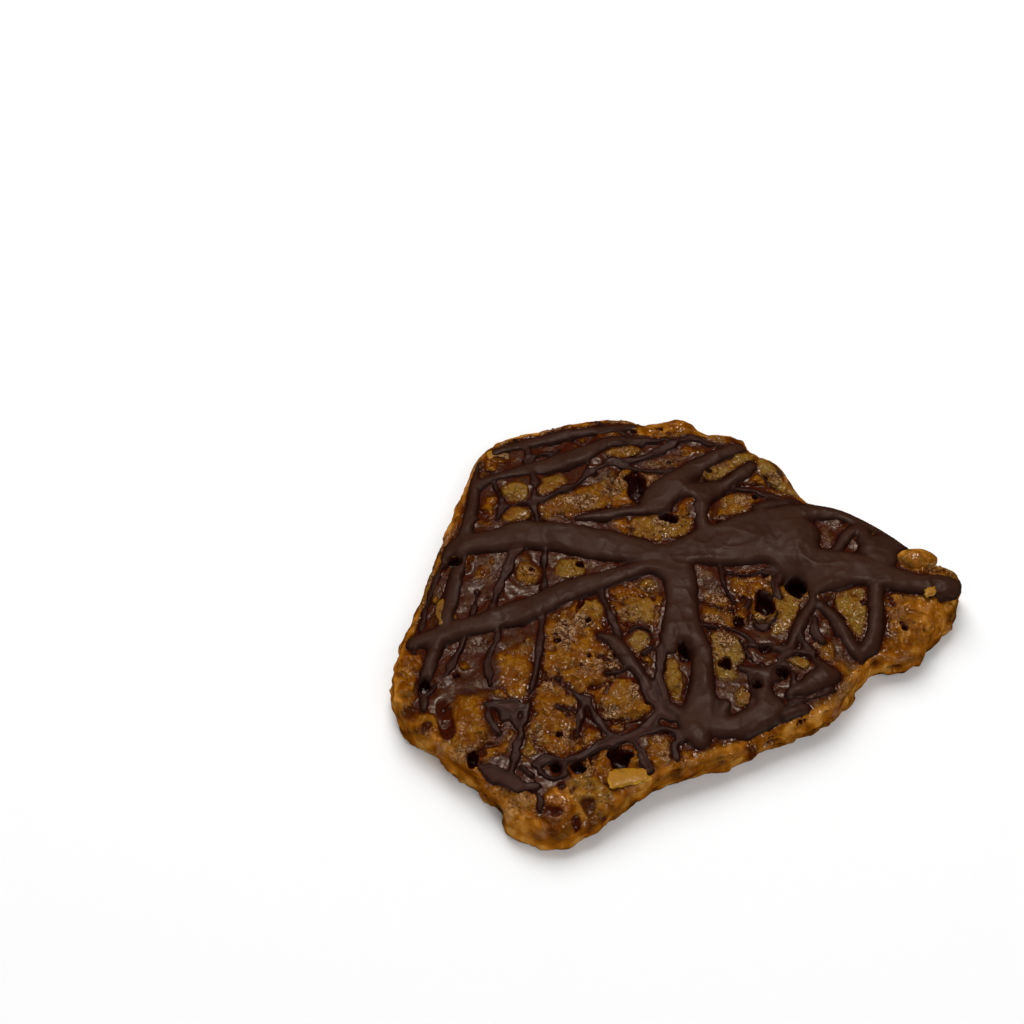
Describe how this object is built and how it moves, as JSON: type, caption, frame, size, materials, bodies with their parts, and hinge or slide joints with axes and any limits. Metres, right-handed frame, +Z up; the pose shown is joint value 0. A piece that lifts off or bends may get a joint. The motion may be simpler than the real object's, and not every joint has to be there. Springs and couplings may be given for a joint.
{
  "type": "florentine cookie",
  "caption": "Thin hand-cut florentine of caramel and flaked almonds with dark chocolate drizzled over its craggy top, on a flat base.",
  "frame": {"origin": "on the plane the cookie rests on, below the middle of its bounding box", "axes": "+Z up through the thickness, +X towards the pointed end of the cookie, +Y towards its back edge"},
  "size_m": [0.0764, 0.0686, 0.0068],
  "materials": {
    "caramel": "glossy, craggy baked caramel",
    "chocolate": "satin set chocolate",
    "almond": "toasted almond flake under a thin glaze"
  },
  "bodies": {
    "root": {"florentine": "caramel"}
  },
  "joints": []
}
